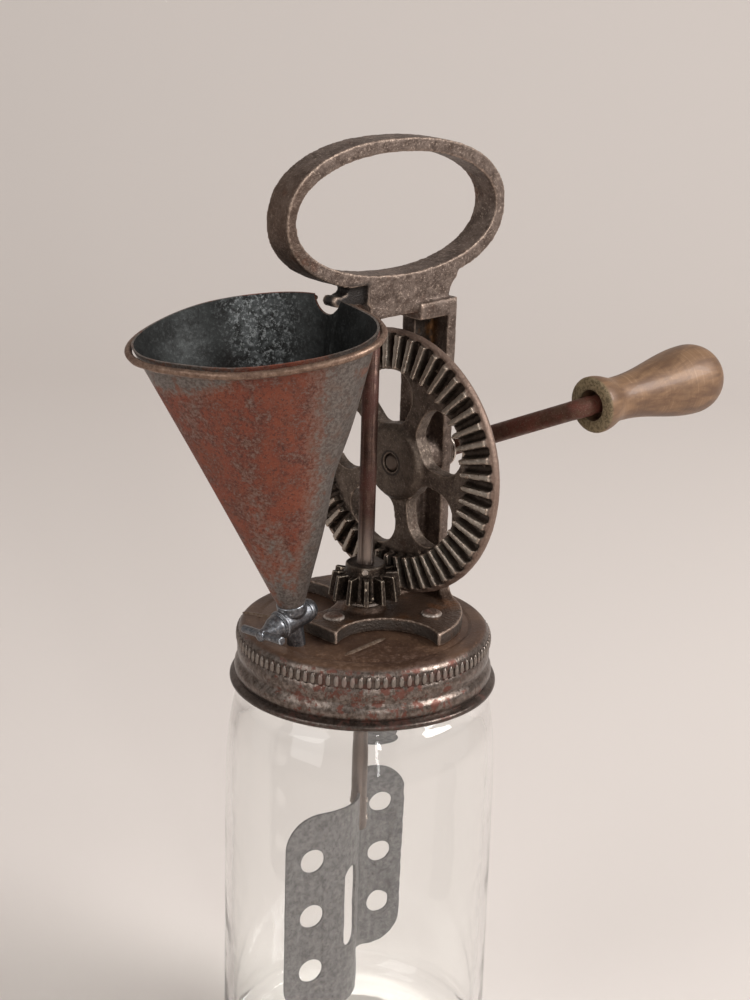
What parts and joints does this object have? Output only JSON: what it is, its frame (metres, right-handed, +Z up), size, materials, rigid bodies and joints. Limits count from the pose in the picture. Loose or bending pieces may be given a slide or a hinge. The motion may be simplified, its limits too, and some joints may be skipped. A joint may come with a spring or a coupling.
{
  "type": "hand crank jar mixer",
  "caption": "Hand-cranked dressing mixer on a glass screw-top jar: cast frame with loop handle, crown gear and pinion, perforated beater sheet, oil funnel with tap.",
  "frame": {"origin": "centre of the jar's flat base", "axes": "+Z up along the beater shaft, +X from the shaft towards the crown gear, the column and the crank, +Y completes the right-handed frame"},
  "size_m": [0.1942, 0.1112, 0.327],
  "materials": {
    "glass": "clear, smooth",
    "seal": "matt",
    "lid_steel": "worn, rust-specked",
    "cast_frame": "grainy casting, browned",
    "gear_iron": "dark casting with worn teeth",
    "rivet_steel": "dull, worn",
    "rod_steel": "rust-browned",
    "grip": "turned, worn varnish",
    "shaft_steel": "browned steel",
    "blade_tin": "mottled grey tinplate",
    "funnel_tin": "rusted tinplate",
    "tap_metal": "dull grey pewter-like casting"
  },
  "bodies": {
    "jar": {"jar": "glass"},
    "seal": {"lid_seal": "seal"},
    "head": {"lid": "lid_steel", "frame": "cast_frame", "frame_rivets": "rivet_steel", "funnel_cone": "funnel_tin", "funnel_rim": "funnel_tin", "tap_body": "tap_metal", "drip_tube": "tap_metal"},
    "crank": {"drive_gear": "gear_iron", "crank_rod": "rod_steel", "hub_washer": "rivet_steel", "crank_washer": "rivet_steel", "grip_washer": "rivet_steel"},
    "grip": {"crank_grip": "grip"},
    "beater": {"beater_shaft": "shaft_steel", "pinion": "gear_iron", "pinion_pin": "rivet_steel", "thrust_washer": "rivet_steel", "stop_collar": "shaft_steel", "stop_pin": "rivet_steel", "beater_blade": "blade_tin", "blade_rivets": "rivet_steel"},
    "tap_key": {"tap_plug": "tap_metal", "tap_tee": "tap_metal", "tap_cap_nut": "tap_metal"}
  },
  "joints": [
    {"name": "lid_lift", "type": "slide", "parent": "jar", "child": "seal", "axis": [0, 0, 1], "range_m": [0, 0.0061]},
    {"name": "lid_turn", "type": "hinge", "parent": "seal", "child": "head", "pos_m": [0, 0, 0.164], "axis": [0, 0, 1], "range_deg": [0, 360]},
    {"name": "crank_turn", "type": "hinge", "parent": "head", "child": "crank", "pos_m": [0.026, 0, 0.2187], "axis": [1, 0, 0], "continuous": true},
    {"name": "grip_spin", "type": "hinge", "parent": "crank", "child": "grip", "pos_m": [0.05226, -0.04913, 0.24182], "axis": [0.9952, -0.0883, 0.0415], "continuous": true},
    {"name": "beater_spin", "type": "hinge", "parent": "head", "child": "beater", "pos_m": [0, 0, 0.22], "axis": [0, 0, 1], "continuous": true},
    {"name": "tap_turn", "type": "hinge", "parent": "head", "child": "tap_key", "pos_m": [-0.03248, 0, 0.17473], "axis": [0.9826, 0, 0.1857], "range_deg": [0, 90]}
  ],
  "couplings": [
    {"joint": "beater_spin", "follows": "crank_turn", "ratio": 4},
    {"joint": "lid_lift", "follows": "lid_turn", "m_per_rad": 0.00095493}
  ]
}
